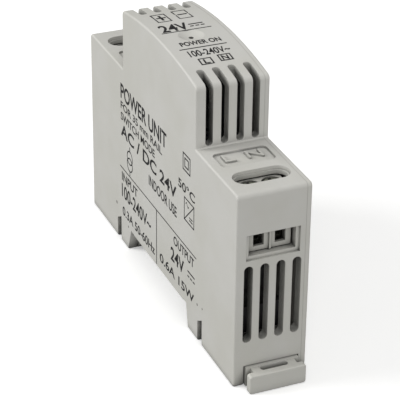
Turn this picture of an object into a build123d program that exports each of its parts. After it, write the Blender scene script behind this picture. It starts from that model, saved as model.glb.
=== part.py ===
"""One-module mains power supply for a 35 mm top-hat rail, as separate pieces.

Frame (millimetres): the origin is the centre of the face that sits on the rail. +Z points out of
the panel, through the crowned front. +X runs across the rail towards the mains terminals, +Y along
the rail, away from the flank that carries the markings.
"""

import os
from math import pi

from build123d import *

# ---------------------------------------------------------------- driving dimensions (mm)
BODY_LENGTH = 90.0  # along X, end face to end face
BODY_WIDTH = 17.5  # along Y, one module
FRONT_LENGTH = 44.8  # raised front, fits a 45 mm panel cut-out
FOOT_Z = -6.0  # underside of the feet
SHOULDER_Z = 42.0  # terminal shoulders above the rail
FRONT_Z = 57.0  # raised front at its ends
CROWN_RISE = 2.1  # how far the middle of the front stands above its ends
RAIL_WIDTH = 35.0
RAIL_THICKNESS = 1.0
SEAT_X = (-15.8, 15.9)  # the part of the recess floor that bears on the rail
HOOK_REACH = 1.6  # how far the fixed hook goes under the rail's edge
SEAT_RELIEF = 0.2  # the rest of the recess floor stands this much back from the rail
RECESS_X = (-17.75, 17.75)  # the recess at the rail face
RECESS_MOUTH_X = (-19.9, 18.9)  # the recess at the underside of the feet

SIDE_WALL = 1.2
END_WALL = 2.6
STEP_WALL = 2.4
SHOULDER_WALL = 1.8
CROWN_WALL = 2.0
FLOOR_TOP_Z = 1.5
COVER_THICKNESS = 1.2
FLANK_EDGE_RADIUS = 0.45

POLE_PITCH = 5.08
SCREW_X = 37.9
THREAD_PITCH = 0.5
SCREW_TURNS = 1500 / 360

# ---------------------------------------------------------------- sizes that follow from them
HALF_LENGTH = BODY_LENGTH / 2
HALF_WIDTH = BODY_WIDTH / 2
HALF_FRONT = FRONT_LENGTH / 2
COVER_Y = HALF_WIDTH - COVER_THICKNESS
INNER_Y = -HALF_WIDTH + SIDE_WALL
POLES_Y = (-POLE_PITCH / 2, POLE_PITCH / 2)
END_INNER_X = HALF_LENGTH - END_WALL
STEP_INNER_X = HALF_FRONT - STEP_WALL
CAVITY_TOP_Z = SHOULDER_Z - SHOULDER_WALL

BOARD_THICKNESS = 1.2
BOARD_FACE_Y = INNER_Y + 2.0
BOARD_BACK_Y = BOARD_FACE_Y - BOARD_THICKNESS
LEAD_END_Y = INNER_Y + 0.25
LEAD_RADIUS = 0.35
LEAD_HOLE_RADIUS = 0.45

# The rail latch and its channel in the mains-side foot.
CHANNEL_LOW_Y = -6.35
CHANNEL_HIGH_Y = 6.95
CHANNEL_ROOF_Z = -0.9
LATCH_CLEARANCE = 0.3
LATCH_Y = (CHANNEL_LOW_Y + CHANNEL_HIGH_Y) / 2
LATCH_TOP_Z = -1.1
LATCH_LOW_Z = -5.8
LATCH_HOOK_X = 16.0
SPRING_X = (22.0, 30.9)
SPRING_Z = -2.75
SPRING_RADIUS = 1.5
SPRING_WIRE = 0.5
PEG_LENGTH = 3.0
PEG_HALF_WIDTH = 1.5
SPRING_SLOT_HALF_WIDTH = 1.7

# Clamp and screw levels, shared by both terminal blocks.
TONGUE_Z = (30.3, 30.95)
TONGUE_HALF_WIDTH = 1.15
CONTACT_PIN_Z = (TONGUE_Z, (27.0, 27.65))
STRAP_X = (32.6, 33.25)
CAGE_HALF_WIDTH = 1.95
CAGE_HALF_DEPTH = 1.7
CAGE_WALL = 0.6
CAGE_LOW_Z = 26.9
CAGE_FLOOR_Z = 27.5
CAGE_ROOF_Z = 33.0
CAGE_TOP_Z = 34.0
SHANK_RADIUS = 1.25
SHANK_HOLE_RADIUS = 1.3
HEAD_RADIUS = 2.1
HEAD_Z = (37.2, 39.75)
BLOCK_TOP_Z = 39.9

WIRE_FACE_X = 42.75
WIRE_HOLE_Z = (27.75, 31.2)

# Posts that carry the board and take the cover's pins: x, z of each axis.
POSTS = [(side * x, z) for side in (-1, 1) for x, z in ((29.5, 37.2), (24.0, 4.2))]
POST_RADIUS = 2.0
PIN_RADIUS = 1.0
PIN_HOLE_RADIUS = 1.02
PIN_LENGTH = 5.0

LAMP_X = 0.8
LAMP_Y = -0.9
LAMP_HOLE_RADIUS = 0.6


# ---------------------------------------------------------------- helpers
def block(x, y, z):
    """A box from its (low, high) limits along each axis."""
    size = Box(x[1] - x[0], y[1] - y[0], z[1] - z[0])
    return Pos((x[0] + x[1]) / 2, (y[0] + y[1]) / 2, (z[0] + z[1]) / 2) * size


def prism(face, y):
    """A face drawn in (x, z), carried along Y between the two limits."""
    return extrude(Plane.XZ.offset(-y[1]) * face, amount=y[1] - y[0])


def polygon(*points):
    """A closed straight-sided face."""
    return make_face(Polyline(*points, close=True))


def rod(radius, centre, limits, axis=Axis.Y):
    """A round bar along one axis. centre holds the other two coordinates, in X, Y, Z order."""
    length = limits[1] - limits[0]
    middle = (limits[0] + limits[1]) / 2
    if axis == Axis.X:
        return Pos(middle, centre[0], centre[1]) * Rot(0, 90, 0) * Cylinder(radius, length)
    if axis == Axis.Y:
        return Pos(centre[0], middle, centre[1]) * Rot(90, 0, 0) * Cylinder(radius, length)
    return Pos(centre[0], centre[1], middle) * Cylinder(radius, length)


def along(shape, axis, tolerance=1e-3):
    """The straight edges of a shape that run parallel to an axis."""
    return shape.edges().filter_by(axis, tolerance=tolerance)


def mirrored(shape, side):
    """The shape as drawn for the mains end (+1), or its mirror image at the output end (-1)."""
    return shape if side > 0 else mirror(shape, about=Plane.YZ)


# ---------------------------------------------------------------- housing
def flank_outline():
    """The stepped side view: feet, rail recess, shoulders and crowned front."""
    feet = Polyline(
        (HALF_FRONT, FRONT_Z),
        (HALF_FRONT, SHOULDER_Z),
        (HALF_LENGTH, SHOULDER_Z),
        (HALF_LENGTH, FOOT_Z),
        (RECESS_MOUTH_X[1], FOOT_Z),
        (RECESS_X[1], SEAT_RELIEF),
        (SEAT_X[1], SEAT_RELIEF),
        (SEAT_X[1], 0),
        (SEAT_X[0], 0),
        (SEAT_X[0], SEAT_RELIEF),
        (RECESS_X[0], SEAT_RELIEF),
        (RECESS_MOUTH_X[0], FOOT_Z),
        (-HALF_LENGTH, FOOT_Z),
        (-HALF_LENGTH, SHOULDER_Z),
        (-HALF_FRONT, SHOULDER_Z),
        (-HALF_FRONT, FRONT_Z),
    )
    crown = ThreePointArc((-HALF_FRONT, FRONT_Z), (0, FRONT_Z + CROWN_RISE), (HALF_FRONT, FRONT_Z))
    face = make_face(feet + crown)
    corners = (
        (HALF_LENGTH, SHOULDER_Z, 1.0),
        (HALF_FRONT, FRONT_Z, 1.2),
        (HALF_FRONT, SHOULDER_Z, 0.4),
        (HALF_LENGTH, FOOT_Z, 0.6),
    )
    for x, z, radius in corners:
        at = [v for v in face.vertices() if abs(v.Y - z) < 0.01 and abs(abs(v.X) - x) < 0.01]
        face = fillet(at, radius)
    return face


def outer_rim(shape, y):
    """The edges round a flank's outer face at y, apart from those in the rail recess."""
    spans = [(e, e.bounding_box()) for e in shape.edges()]
    rim = [e for e, span in spans if max(abs(span.min.Y - y), abs(span.max.Y - y)) < 0.01]
    return [e for e in rim if e.center().Z > 1 or abs(e.center().X) > HALF_LENGTH - 1]


def cavity():
    """The space for the board and the terminal blocks."""
    walls = Polyline(
        (STEP_INNER_X, FRONT_Z - CROWN_WALL),
        (STEP_INNER_X, CAVITY_TOP_Z),
        (END_INNER_X, CAVITY_TOP_Z),
        (END_INNER_X, FLOOR_TOP_Z),
        (-END_INNER_X, FLOOR_TOP_Z),
        (-END_INNER_X, CAVITY_TOP_Z),
        (-STEP_INNER_X, CAVITY_TOP_Z),
        (-STEP_INNER_X, FRONT_Z - CROWN_WALL),
    )
    top = FRONT_Z - CROWN_WALL
    crown = ThreePointArc((-STEP_INNER_X, top), (0, top + CROWN_RISE), (STEP_INNER_X, top))
    return prism(make_face(walls + crown), (INNER_Y, COVER_Y))


SLOT_RADIUS = 1.05
HIGH_SLOT_RADIUS = 0.88
LOW_SLOT_PITCH = 3.8
LOW_SLOT_Z = (5.1, 24.4)
HIGH_SLOT_PITCH = 3.68
HIGH_SLOT_FOOT_Z = SHOULDER_Z + 0.45
HIGH_SLOT_REACH = 6.2  # from the step wall in over the crown


def slot_centres(pitch):
    """Y of the four slots in a row."""
    return [(number - 1.5) * pitch for number in range(4)]


def low_slots():
    """Four round-ended vents low in the mains end face."""
    cutters = []
    for y in slot_centres(LOW_SLOT_PITCH):
        low, high = LOW_SLOT_Z[0] + SLOT_RADIUS, LOW_SLOT_Z[1] - SLOT_RADIUS
        x = (END_INNER_X - 1, HALF_LENGTH + 1)
        cutters.append(block(x, (y - SLOT_RADIUS, y + SLOT_RADIUS), (low, high)))
        cutters += [rod(SLOT_RADIUS, (y, z), x, Axis.X) for z in (low, high)]
    return cutters


def high_slots():
    """Four vents that run down the step wall and turn in over the crown."""
    cutters = []
    start = HALF_FRONT - HIGH_SLOT_REACH + HIGH_SLOT_RADIUS
    foot = HIGH_SLOT_FOOT_Z + HIGH_SLOT_RADIUS
    top = FRONT_Z + CROWN_RISE
    for y in slot_centres(HIGH_SLOT_PITCH):
        width = (y - HIGH_SLOT_RADIUS, y + HIGH_SLOT_RADIUS)
        wall = (STEP_INNER_X - 1, HALF_FRONT + 1)
        cutters.append(block(wall, width, (foot, top)))
        cutters.append(rod(HIGH_SLOT_RADIUS, (y, foot), wall, Axis.X))
        cutters.append(block((start, HALF_FRONT + 1), width, (FRONT_Z - 4, top)))
        cutters.append(rod(HIGH_SLOT_RADIUS, (start, y), (FRONT_Z - 4, top), Axis.Z))
    return cutters


def oblong(length_y, width_x, z):
    """An oblong with round ends, long side along Y, over the screw axes."""
    half = length_y / 2 - width_x / 2
    ends = [rod(width_x / 2, (SCREW_X, y), z, Axis.Z) for y in (-half, half)]
    return [block((SCREW_X - width_x / 2, SCREW_X + width_x / 2), (-half, half), z)] + ends


def screw_access():
    """The stepped oblong opening over the two terminal screws."""
    rim = oblong(13.2, 5.6, (SHOULDER_Z - 0.8, SHOULDER_Z + 1))
    return rim + oblong(12.2, 5.0, (CAVITY_TOP_Z - 1, SHOULDER_Z + 1))


WINDOW_HALF_WIDTH = 5.5
WINDOW_Z = (26.5, 32.0)
WINDOW_FRAME = 0.8


def wire_window():
    """The end window in front of the wire holes, with a stepped frame round three sides."""
    opening = block(
        (END_INNER_X - 1, HALF_LENGTH + 1), (-WINDOW_HALF_WIDTH, WINDOW_HALF_WIDTH), WINDOW_Z
    )
    outer = WINDOW_HALF_WIDTH + WINDOW_FRAME
    frame = block(
        (HALF_LENGTH - 0.7, HALF_LENGTH + 1), (-outer, outer), (WINDOW_Z[0] - WINDOW_FRAME, WINDOW_Z[1])
    )
    return [opening, frame]


LABEL_X = (25.6, 32.2)
LABEL_HALF_WIDTH = 6.4
LABEL_DEPTH = 0.5
STROKE = 0.55
STROKE_RISE = 0.45
STROKE_ROOT = 0.1
LETTER_X = (26.85, 29.45)
LIVE_Y = (-4.36, -2.32)
NEUTRAL_Y = (1.15, 4.25)
SIGN_HALF = 1.25


def label_recess():
    """A shallow round-cornered panel on the shoulder for the pole marks."""
    centre = (LABEL_X[0] + LABEL_X[1]) / 2
    size = (LABEL_X[1] - LABEL_X[0], 2 * LABEL_HALF_WIDTH)
    face = Pos(centre, 0, SHOULDER_Z - LABEL_DEPTH) * RectangleRounded(*size, 1.2)
    return extrude(face, amount=1)


def bar_between(start, end):
    """A raised stroke of a pole mark, between two (x, y) points on the panel floor."""
    middle = ((start[0] + end[0]) / 2, (start[1] + end[1]) / 2)
    run = Vector(end[0] - start[0], end[1] - start[1])
    face = Rot(0, 0, run.get_signed_angle(Vector(1, 0, 0), Vector(0, 0, -1)))
    stroke = face * Rectangle(run.length + STROKE, STROKE)
    stroke = Pos(middle[0], middle[1], SHOULDER_Z - LABEL_DEPTH - STROKE_ROOT) * stroke
    return extrude(stroke, amount=STROKE_ROOT + STROKE_RISE)


def pole_marks():
    """L and N on the mains shoulder, plus and minus on the output shoulder. Up is towards -X."""
    top, foot = LETTER_X
    left, right = LIVE_Y
    live = [((top, left), (foot, left)), ((foot, left), (foot, right))]
    left, right = NEUTRAL_Y
    neutral = [((foot, left), (top, left)), ((top, left), (foot, right)), ((foot, right), (top, right))]
    centre = -(LABEL_X[0] + LABEL_X[1]) / 2
    left, right = -2.9, 2.7
    plus = [
        ((centre - SIGN_HALF, left), (centre + SIGN_HALF, left)),
        ((centre, left - SIGN_HALF), (centre, left + SIGN_HALF)),
    ]
    minus = [((centre, right - SIGN_HALF), (centre, right + SIGN_HALF))]
    return [bar_between(*stroke) for stroke in live + neutral + plus + minus]


COVER_NOTCH_X = (24.5, 27.1)


def cover_notch(side):
    """A slanted notch low on the flank, open into the foot at its lower edge."""
    near, far = COVER_NOTCH_X
    low_x = near if side > 0 else -far
    high_x = low_x + far - near
    face = polygon((low_x, FOOT_Z - 1), (low_x, -0.7), (high_x, 0.8), (high_x, FOOT_Z - 1))
    pocket = prism(face, (-HALF_WIDTH - 1, -HALF_WIDTH + 1.0))
    gap = block((low_x, high_x), (-HALF_WIDTH - 1, CHANNEL_LOW_Y + 0.1), (FOOT_Z - 1, -4.4))
    return [pocket, gap]


def fixed_hook():
    """The moulded hook that goes under the rail's edge."""
    under_rail = -RAIL_THICKNESS - 0.1
    tip_x = -RAIL_WIDTH / 2 + HOOK_REACH
    root_x = RECESS_MOUTH_X[0] - 1.6
    face = polygon(
        (root_x, FOOT_Z),
        (RECESS_MOUTH_X[0], FOOT_Z),
        (tip_x, -2.4),
        (tip_x, under_rail),
        (RECESS_X[0], under_rail),
        (RECESS_X[0], 0.5),
        (root_x, 0.5),
    )
    return prism(face, (CHANNEL_LOW_Y, CHANNEL_HIGH_Y))


def feet_cuts():
    """The latch channel with its side grooves, and the cored-out foot at the other end."""
    width = (CHANNEL_LOW_Y, CHANNEL_HIGH_Y)
    channel = block((17.0, HALF_LENGTH + 1), width, (FOOT_Z - 1, CHANNEL_ROOF_Z))
    grooves = block((20.0, 43.5), (CHANNEL_LOW_Y - 0.6, COVER_Y), (-3.9, -2.7))
    core = block((-HALF_LENGTH + 1.6, -19.0), width, (FOOT_Z - 1, -1.5))
    return [channel, grooves, core]


def lamp_dish():
    """A shallow dish in the crown with a sight hole for the lamp."""
    dish_radius = 3.0
    depth = 0.7
    ball_radius = (dish_radius**2 + depth**2) / (2 * depth)
    crown_top = FRONT_Z + CROWN_RISE
    dish = Pos(LAMP_X, LAMP_Y, crown_top - depth + ball_radius) * Sphere(ball_radius)
    hole = rod(LAMP_HOLE_RADIUS, (LAMP_X, LAMP_Y), (crown_top - 4, crown_top + 1), Axis.Z)
    return [dish, hole]


def housing_body():
    """The tub: marked flank, ends, shoulders, crowned front, floor, feet and posts."""
    shell = prism(flank_outline(), (-HALF_WIDTH, COVER_Y))
    shell = fillet(outer_rim(shell, -HALF_WIDTH), FLANK_EDGE_RADIUS)
    shell -= cavity()
    shell -= feet_cuts()
    shell += fixed_hook()
    peg_y = (LATCH_Y - PEG_HALF_WIDTH, LATCH_Y + PEG_HALF_WIDTH)
    shell += block((SPRING_X[1], SPRING_X[1] + PEG_LENGTH), peg_y, (-4.2, 0.5))
    for x, z in POSTS:
        shell += rod(POST_RADIUS, (x, z), (INNER_Y - 0.5, COVER_Y - 0.1))
    for side in (-1, 1):
        for cutter in low_slots() + high_slots() + screw_access() + wire_window() + [label_recess()]:
            shell -= mirrored(cutter, side)
        shell -= cover_notch(side)
    shell -= lamp_dish()
    for x, z in POSTS:
        shell -= rod(PIN_HOLE_RADIUS, (x, z), (COVER_Y - PIN_LENGTH - 0.5, COVER_Y))
    for stroke in pole_marks():
        shell += stroke
    return shell


def side_cover():
    """The lid that closes the other flank, with four pins for the posts."""
    lid = prism(flank_outline(), (COVER_Y, HALF_WIDTH))
    lid = fillet(outer_rim(lid, HALF_WIDTH), FLANK_EDGE_RADIUS)
    for x, z in POSTS:
        lid += rod(PIN_RADIUS, (x, z), (COVER_Y - PIN_LENGTH, COVER_Y + 0.5))
    return lid


# ---------------------------------------------------------------- rail latch
def rail_latch():
    """Slide with a hook at the rail end and a pull flange outside the mains end face."""
    low_y = CHANNEL_LOW_Y + LATCH_CLEARANCE
    high_y = CHANNEL_HIGH_Y - LATCH_CLEARANCE
    z = (LATCH_LOW_Z, LATCH_TOP_Z)
    slide = block((29.5, HALF_LENGTH + 0.7), (low_y, high_y), z)
    slide += block((18.0, 30.0), (LATCH_Y - 4.5, LATCH_Y + 4.5), z)
    hook = polygon(
        (LATCH_HOOK_X, LATCH_TOP_Z),
        (LATCH_HOOK_X, -2.2),
        (18.6, LATCH_LOW_Z),
        (20.0, LATCH_LOW_Z),
        (20.0, LATCH_TOP_Z),
    )
    slide += prism(hook, (LATCH_Y - 4.5, LATCH_Y + 4.5))
    slide += block((30.5, 40.0), (low_y - 0.5, high_y + 0.5), (-3.75, -2.85))
    slot_end = SPRING_X[1] + PEG_LENGTH + 0.05
    slot_y = (LATCH_Y - SPRING_SLOT_HALF_WIDTH, LATCH_Y + SPRING_SLOT_HALF_WIDTH)
    slide -= block((SPRING_X[0], slot_end), slot_y, (-4.4, LATCH_TOP_Z + 1))
    neck = block((HALF_LENGTH, 48.0), (low_y + 1.1, high_y - 1.1), (LATCH_LOW_Z, LATCH_TOP_Z - 0.25))
    flange = block((47.4, 49.0), (low_y - 0.45, high_y + 0.45), (FOOT_Z, LATCH_TOP_Z - 0.25))
    flange = fillet(along(flange, Axis.X), 0.6)
    outer = [e for e in flange.edges() if e.center().X > 48.9]
    pull = neck + fillet(outer, 0.3)
    pocket = Pos(46.55, LATCH_Y, -4.0) * RectangleRounded(1.5, 6.6, 0.7)
    return slide + pull - extrude(pocket, amount=5)


def latch_spring():
    """The room the latch's coil spring fills: a plain tube of its outer and inner radius."""
    outer = rod(SPRING_RADIUS, (LATCH_Y, SPRING_Z), SPRING_X, Axis.X)
    return outer - rod(SPRING_RADIUS - SPRING_WIRE, (LATCH_Y, SPRING_Z), SPRING_X, Axis.X)


# ---------------------------------------------------------------- terminals
def terminal_block():
    """Two-pole insulating body: screw bores on top, wire holes in front, a clamp space per pole."""
    half = POLE_PITCH + 0.2
    body = block((33.4, END_INNER_X - 0.1), (-half, half), (24.6, BLOCK_TOP_Z))
    nose_z = (WINDOW_Z[0] + 0.2, WINDOW_Z[1] - 0.1)
    nose = half - 0.25
    body += block((END_INNER_X - 0.2, WIRE_FACE_X), (-nose, nose), nose_z)
    body += block((WIRE_FACE_X - 0.1, WIRE_FACE_X + 0.5), (-0.22, 0.22), nose_z)
    for y in POLES_Y:
        body -= block((SCREW_X - 2.3, SCREW_X + 2.3), (y - 2.2, y + 2.2), (25.5, 36.2))
        body -= block((SCREW_X, WIRE_FACE_X - 0.8), (y - 1.7, y + 1.7), (25.5, 33.0))
        body -= rod(HEAD_RADIUS + 0.2, (SCREW_X, y), (HEAD_Z[0] - 0.1, BLOCK_TOP_Z + 1), Axis.Z)
        body -= rod(SHANK_HOLE_RADIUS, (SCREW_X, y), (36.0, HEAD_Z[0]), Axis.Z)
        body -= block((SCREW_X, WIRE_FACE_X + 1), (y - 1.25, y + 1.25), WIRE_HOLE_Z)
        body -= block((33.0, 36.0), (y - 1.25, y + 1.25), (TONGUE_Z[0] - 0.05, TONGUE_Z[1] + 0.05))
    return body


def contact_pins():
    """One strip per pole: tongue over the wire, strap down the back of the block, solder pin."""
    strips = []
    for y, pin_z in zip(POLES_Y, CONTACT_PIN_Z):
        width = (y - TONGUE_HALF_WIDTH, y + TONGUE_HALF_WIDTH)
        strip = block((STRAP_X[0], SCREW_X + 2.1), width, TONGUE_Z)
        strip += block(STRAP_X, width, (pin_z[0], TONGUE_Z[1]))
        strip += block(STRAP_X, (LEAD_END_Y, y), pin_z)
        strips.append(strip)
    return strips


def terminal_screw(y):
    """Slotted clamp screw; its tip bears on the tongue."""
    screw = rod(SHANK_RADIUS, (SCREW_X, y), (TONGUE_Z[1] + 0.05, HEAD_Z[0] + 0.1), Axis.Z)
    head = rod(HEAD_RADIUS, (SCREW_X, y), HEAD_Z, Axis.Z)
    head = chamfer([e for e in head.edges() if e.center().Z > HEAD_Z[1] - 0.01], 0.25)
    slot = block((SCREW_X - 3, SCREW_X + 3), (y - 0.35, y + 0.35), (HEAD_Z[1] - 0.9, HEAD_Z[1] + 1))
    return screw + head - slot


def clamp_cage(y):
    """Folded steel cage that the screw draws up against the tongue."""
    x = (SCREW_X - CAGE_HALF_DEPTH, SCREW_X + CAGE_HALF_DEPTH)
    cage = block(x, (y - CAGE_HALF_WIDTH, y + CAGE_HALF_WIDTH), (CAGE_LOW_Z, CAGE_TOP_Z))
    cage = fillet(along(cage, Axis.X), 0.3)
    inner = CAGE_HALF_WIDTH - CAGE_WALL
    cage -= block((x[0] - 1, x[1] + 1), (y - inner, y + inner), (CAGE_FLOOR_Z, CAGE_ROOF_Z))
    return cage - rod(SHANK_HOLE_RADIUS, (SCREW_X, y), (CAGE_ROOF_Z - 1, CAGE_TOP_Z + 1), Axis.Z)


# ---------------------------------------------------------------- board and what is on it
def pins(points, top_y):
    """Round solder leads from just behind the board up to top_y, at (x, z) points."""
    return [rod(LEAD_RADIUS, point, (LEAD_END_Y, top_y)) for point in points]


FUSE_AT = (36.5, 17.5)
VARISTOR_AT = (29.0, 26.5)
FILTER_X = (26.6, 39.6)
FILTER_Z = (4.2, 10.6)
CHOKE_AT = (17.4, 11.0)
BRIDGE_AT = (28.2, 17.0)
BULK_AT = (16.2, 0.7)
BULK_Z = (19.6, 39.5)
TRANSFORMER_AT = (-3.4, 0.9, 29.5)
SWITCH_X = (8.0, 16.0)
OPTO_AT = (-4.6, 12.0)
Y_CAPACITOR_AT = (-10.6, 12.0)
DIODE_AT = (-18.4, -2.7)
DIODE_Z = (25.0, 34.0)
OUTPUT_CHOKE_AT = (-17.0, 12.0)
OUTPUT_CAPACITORS_X = (-27.2, -36.2)
OUTPUT_CAPACITOR_Z = (7.4, 22.4)
TRANSFORMER_PIN_Z = (-8.9, 8.9)

LEADS = {
    "fuse": [(FUSE_AT[0], FUSE_AT[1] + dz) for dz in (-2.54, 2.54)],
    "varistor": [(VARISTOR_AT[0], VARISTOR_AT[1] + dz) for dz in (-2.5, 2.5)],
    "filter": [(FILTER_X[0] + 1.5, 7.4), (FILTER_X[1] - 1.5, 7.4)],
    "choke": [(CHOKE_AT[0] + dx, CHOKE_AT[1] + dz) for dx in (-2.5, 2.5) for dz in (-4.6, 4.6)],
    "bridge": [(BRIDGE_AT[0] + dx, BRIDGE_AT[1] + dz) for dx in (-3.4, 3.4) for dz in (-2.5, 2.5)],
    "bulk": [(BULK_AT[0] + dx, BULK_Z[0] - 0.9) for dx in (-2.5, 2.5)],
    "switch": [(12.0 + dx, 40.0) for dx in (-2.3, 0, 2.3)],
    "opto": [(OPTO_AT[0] + dx, OPTO_AT[1] + dz) for dx in (-3.4, 3.4) for dz in (-1.27, 1.27)],
    "y_capacitor": [(Y_CAPACITOR_AT[0], Y_CAPACITOR_AT[1] + dz) for dz in (-2.5, 2.5)],
    "diode": [(DIODE_AT[0], z) for z in (DIODE_Z[0] - 1.6, DIODE_Z[1] + 1.6)],
    "output_choke": [(OUTPUT_CHOKE_AT[0] + dx, OUTPUT_CHOKE_AT[1]) for dx in (-2.5, 2.5)],
    "output_capacitors": [
        (x + dx, OUTPUT_CAPACITOR_Z[0] - 0.9) for x in OUTPUT_CAPACITORS_X for dx in (-1.75, 1.75)
    ],
    "lamp": [(LAMP_X + dx, 50.6) for dx in (-1.27, 1.27)],
    "transformer": [
        (TRANSFORMER_AT[0] + dx, TRANSFORMER_AT[2] + dz) for dx in (-5, 0, 5) for dz in TRANSFORMER_PIN_Z
    ],
}


def circuit_board():
    """T-shaped board with holes for every lead and a clearance hole for each post."""
    outline = polygon(
        (42.0, 1.9),
        (42.0, 39.8),
        (19.6, 39.8),
        (19.6, 53.0),
        (-19.6, 53.0),
        (-19.6, 39.8),
        (-42.0, 39.8),
        (-42.0, 1.9),
    )
    board = prism(outline, (BOARD_BACK_Y, BOARD_FACE_Y))
    for x, z in POSTS:
        board -= rod(POST_RADIUS + 0.2, (x, z), (BOARD_BACK_Y - 1, BOARD_FACE_Y + 1))
    for points in LEADS.values():
        board -= [rod(LEAD_HOLE_RADIUS, point, (BOARD_BACK_Y - 1, BOARD_FACE_Y + 1)) for point in points]
    for side in (-1, 1):
        for z in CONTACT_PIN_Z:
            hole_x = (STRAP_X[0] - 0.1, STRAP_X[1] + 0.1)
            hole = block(hole_x, (BOARD_BACK_Y - 1, BOARD_FACE_Y + 1), (z[0] - 0.1, z[1] + 0.1))
            board -= mirrored(hole, side)
    return board


def fuse():
    """Small round radial fuse."""
    body = rod(4.1, FUSE_AT, (BOARD_FACE_Y + 0.4, 2.6))
    body = fillet(body.edges().filter_by(GeomType.CIRCLE).sort_by(Axis.Y)[-1:], 0.5)
    return body + pins(LEADS["fuse"], BOARD_FACE_Y + 1)


def disc_part(centre, radius, half_thickness, lead_points):
    """A coated disc standing on its two leads, its axis along X."""
    middle_y = BOARD_FACE_Y + 1.2 + radius
    limits = (centre[0] - half_thickness, centre[0] + half_thickness)
    body = rod(radius, (middle_y, centre[1]), limits, Axis.X)
    body = fillet(body.edges().filter_by(GeomType.CIRCLE), half_thickness * 0.6)
    return body + pins(lead_points, middle_y - radius * 0.6)


def filter_capacitor():
    """Boxed film capacitor across the mains."""
    body = block(FILTER_X, (BOARD_FACE_Y + 0.1, 5.2), FILTER_Z)
    body = fillet(body.edges().sort_by(Axis.Y)[-4:], 0.5)
    return body + pins(LEADS["filter"], BOARD_FACE_Y + 1)


CHOKE_CORE_Y = (-4.4, 1.6)
CHOKE_RADII = (3.3, 6.4)
CHOKE_WRAP = 0.7


def choke_core():
    """Ferrite ring of the mains filter choke, lying flat on the board."""
    ring = rod(CHOKE_RADII[1], CHOKE_AT, CHOKE_CORE_Y)
    return ring - rod(CHOKE_RADII[0], CHOKE_AT, (CHOKE_CORE_Y[0] - 1, CHOKE_CORE_Y[1] + 1))


def choke_windings():
    """Two equal windings on opposite sides of the ring, with their four leads."""
    low, high = CHOKE_CORE_Y[0] - CHOKE_WRAP, CHOKE_CORE_Y[1] + CHOKE_WRAP
    wraps = rod(CHOKE_RADII[1] + CHOKE_WRAP, CHOKE_AT, (low, high))
    wraps -= rod(CHOKE_RADII[0] - CHOKE_WRAP, CHOKE_AT, (low - 1, high + 1))
    wraps -= choke_core()
    gap = block(
        (CHOKE_AT[0] - 10, CHOKE_AT[0] + 10), (low - 1, high + 1), (CHOKE_AT[1] - 1.5, CHOKE_AT[1] + 1.5)
    )
    wraps -= gap
    return wraps + pins(LEADS["choke"], low + 0.3)


def chip(centre, size, rise, legs):
    """A moulded package over the board with bent legs. size is (x, z, thickness)."""
    body = block(
        (centre[0] - size[0] / 2, centre[0] + size[0] / 2),
        (BOARD_FACE_Y + rise, BOARD_FACE_Y + rise + size[2]),
        (centre[1] - size[1] / 2, centre[1] + size[1] / 2),
    )
    body = chamfer(body.edges().sort_by(Axis.Y)[-4:], 0.25)
    for x, z in legs:
        reach = 0.3 if x > centre[0] else -0.3
        inner = centre[0] + (size[0] / 2 - 0.1) * (1 if x > centre[0] else -1)
        shelf_y = BOARD_FACE_Y + rise + size[2] * 0.4
        x_limits = sorted((inner, x + reach))
        body += block(x_limits, (shelf_y, shelf_y + 0.25), (z - 0.3, z + 0.3))
    return body


def through_hole_chip(centre, size, lead_points):
    """A package with straight legs that pass through the board. size is (x, z, thickness)."""
    body = chip(centre, size, 0.5, lead_points)
    shelf_y = BOARD_FACE_Y + 0.5 + size[2] * 0.4
    return body + pins(lead_points, shelf_y + 0.2)


def controller_chip():
    """Eight-leg surface-mount controller."""
    legs = [(2.6 + dx, 12.0 + (number - 1.5) * 1.27) for dx in (-2.6, 2.6) for number in range(4)]
    body = chip((2.6, 12.0), (3.9, 4.9, 1.4), 0.15, legs)
    for x, z in legs:
        body += block((x - 0.3, x + 0.3), (BOARD_FACE_Y, BOARD_FACE_Y + 0.75), (z - 0.2, z + 0.2))
    return body


def standing_can(x, y, z, radius, lead_points):
    """An electrolytic capacitor lying flat over the board, its leads bent down into it."""
    body = rod(radius, (x, y), z, Axis.Z)
    body = fillet(body.edges().filter_by(GeomType.CIRCLE), 0.6)
    groove_z = z[0] + 1.8
    ring = rod(radius + 1, (x, y), (groove_z - 0.3, groove_z + 0.3), Axis.Z)
    body -= ring - rod(radius - 0.35, (x, y), (groove_z - 1, groove_z + 1), Axis.Z)
    for lead_x, lead_z in lead_points:
        body += rod(LEAD_RADIUS, (lead_x, y), (lead_z, z[0] + 0.5), Axis.Z)
        body += rod(LEAD_RADIUS, (lead_x, lead_z), (LEAD_END_Y, y))
        body += Pos(lead_x, y, lead_z) * Sphere(LEAD_RADIUS)
    return body


def bulk_capacitor():
    """The mains-side reservoir capacitor."""
    return standing_can(*BULK_AT, BULK_Z, 6.2, LEADS["bulk"])


def output_capacitors():
    """Two smoothing capacitors for the output."""
    cans = []
    for number, x in enumerate(OUTPUT_CAPACITORS_X):
        points = LEADS["output_capacitors"][2 * number : 2 * number + 2]
        cans.append(standing_can(x, BOARD_FACE_Y + 4.3, OUTPUT_CAPACITOR_Z, 4.0, points))
    return cans


CORE_WIDTH, CORE_HEIGHT, CORE_DEPTH = 16.4, 16.4, 4.8
CORE_LEG, CORE_CENTRE = 2.2, 4.6
BOBBIN_WALL = 0.6
BOBBIN_HALF_LENGTH = 5.9
WINDING_HALF_X, WINDING_HALF_Y = 5.3, 5.4


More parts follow.
